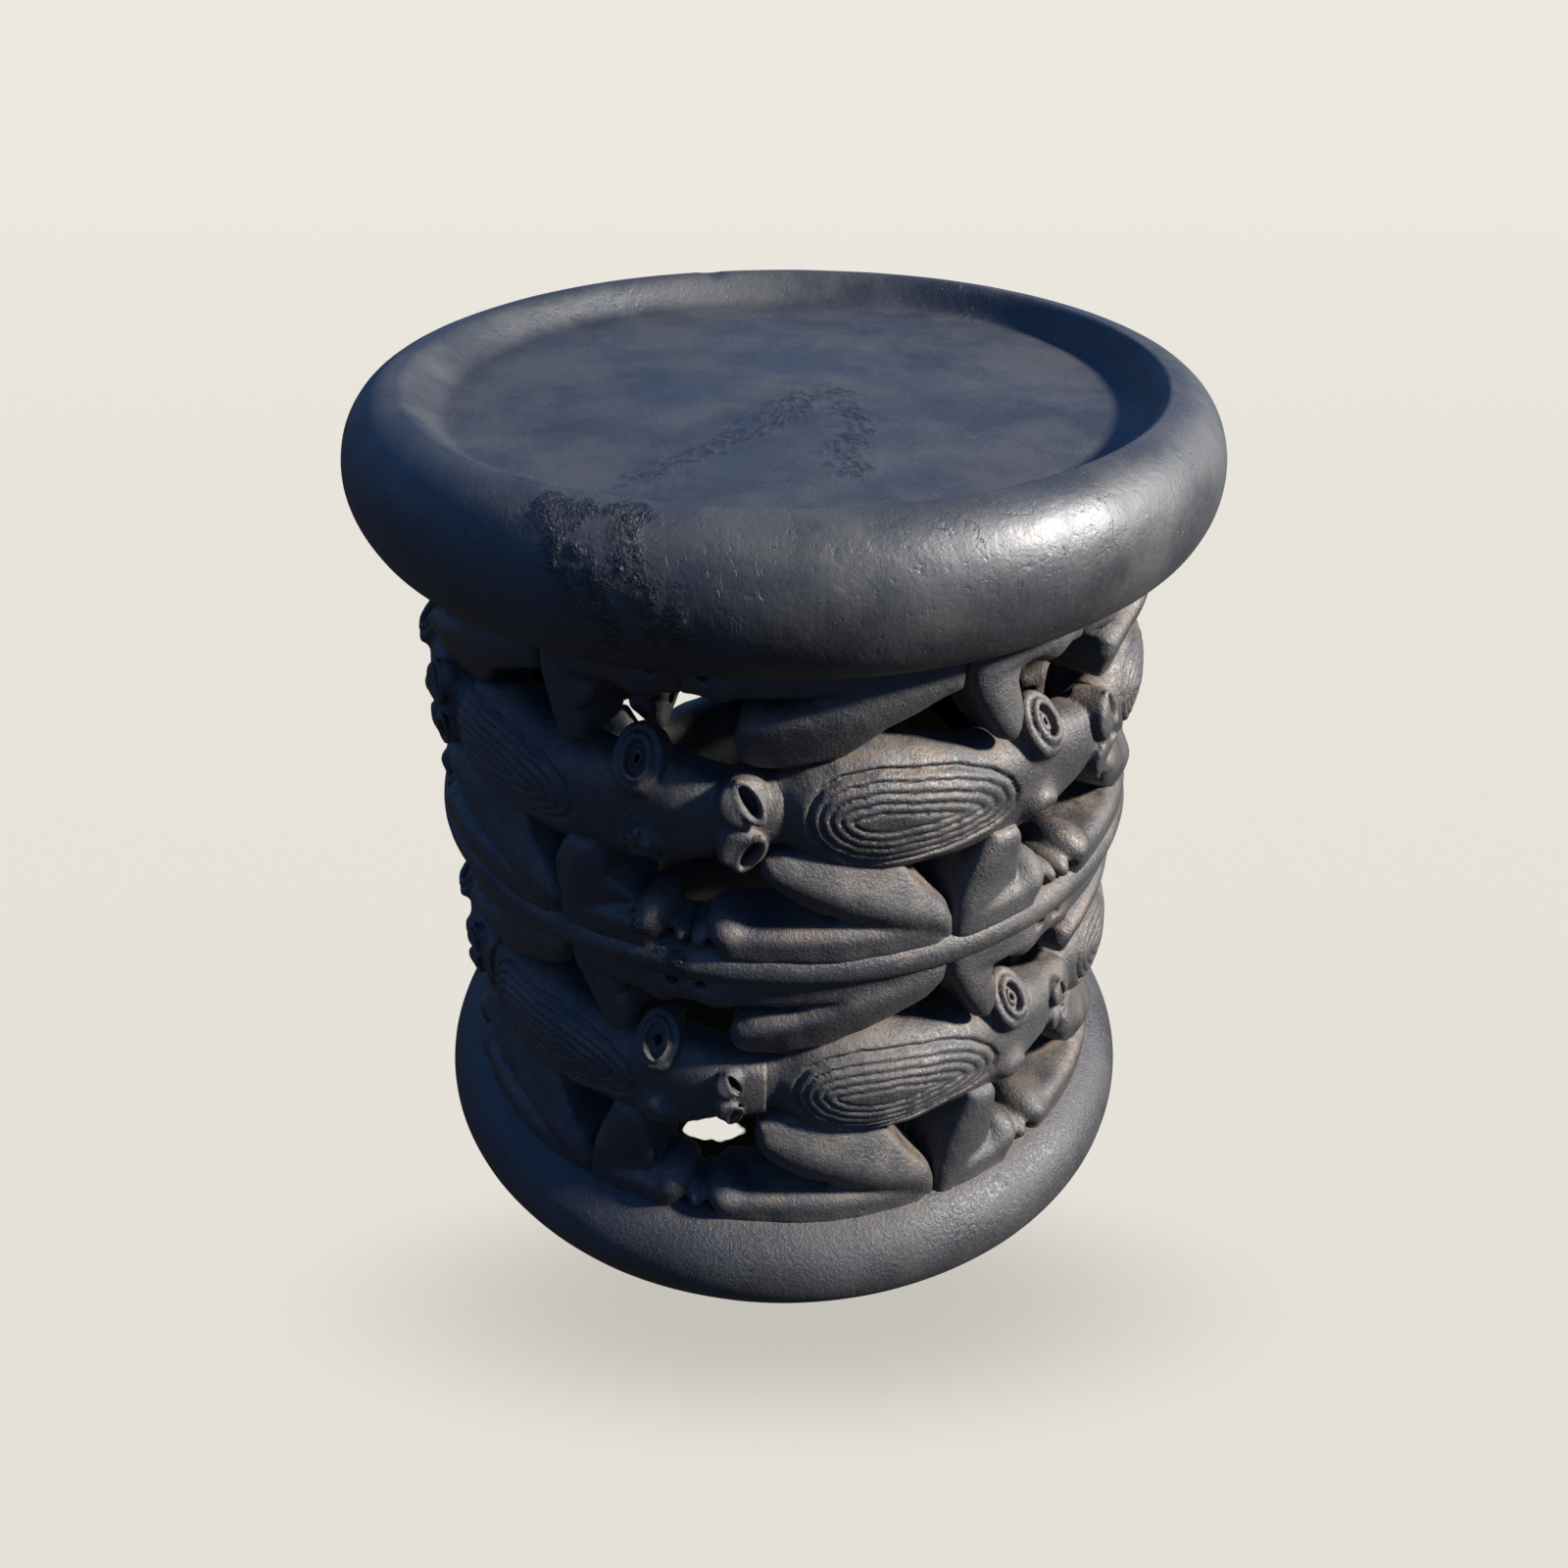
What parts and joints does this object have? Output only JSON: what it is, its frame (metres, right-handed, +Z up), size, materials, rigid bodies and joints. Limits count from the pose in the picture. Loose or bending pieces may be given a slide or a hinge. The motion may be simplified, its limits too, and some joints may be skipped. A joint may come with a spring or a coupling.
{
  "type": "african drum table",
  "caption": "Round wooden drum table with a dished top, a pierced wall of carved animals lying nose to tail in two tiers, a girdle between them and a heavy base ring.",
  "frame": {"origin": "centre of the foot, on the floor", "axes": "+Z up through the middle of the table; the front, where the picture looks from, faces -Y; +X to the right"},
  "size_m": [0.46, 0.46, 0.4745],
  "materials": {
    "blackened_wood": "blackened and waxed hardwood, satin on the rounds and dull in the hollows"
  },
  "bodies": {
    "root": {"seat": "blackened_wood", "girdle": "blackened_wood", "base_ring": "blackened_wood", "upper_animal_1_body": "blackened_wood", "upper_animal_1_hind_legs": "blackened_wood", "upper_animal_1_fore_legs": "blackened_wood", "upper_animal_2_body": "blackened_wood", "upper_animal_2_hind_legs": "blackened_wood", "upper_animal_2_fore_legs": "blackened_wood", "upper_animal_3_body": "blackened_wood", "upper_animal_3_hind_legs": "blackened_wood", "upper_animal_3_fore_legs": "blackened_wood", "upper_animal_4_body": "blackened_wood", "upper_animal_4_hind_legs": "blackened_wood", "upper_animal_4_fore_legs": "blackened_wood", "upper_animal_5_body": "blackened_wood", "upper_animal_5_hind_legs": "blackened_wood", "upper_animal_5_fore_legs": "blackened_wood", "upper_animal_6_body": "blackened_wood", "upper_animal_6_hind_legs": "blackened_wood", "upper_animal_6_fore_legs": "blackened_wood", "lower_animal_1_body": "blackened_wood", "lower_animal_1_hind_legs": "blackened_wood", "lower_animal_1_fore_legs": "blackened_wood", "lower_animal_2_body": "blackened_wood", "lower_animal_2_hind_legs": "blackened_wood", "lower_animal_2_fore_legs": "blackened_wood", "lower_animal_3_body": "blackened_wood", "lower_animal_3_hind_legs": "blackened_wood", "lower_animal_3_fore_legs": "blackened_wood", "lower_animal_4_body": "blackened_wood", "lower_animal_4_hind_legs": "blackened_wood", "lower_animal_4_fore_legs": "blackened_wood", "lower_animal_5_body": "blackened_wood", "lower_animal_5_hind_legs": "blackened_wood", "lower_animal_5_fore_legs": "blackened_wood", "lower_animal_6_body": "blackened_wood", "lower_animal_6_hind_legs": "blackened_wood", "lower_animal_6_fore_legs": "blackened_wood"}
  },
  "joints": []
}
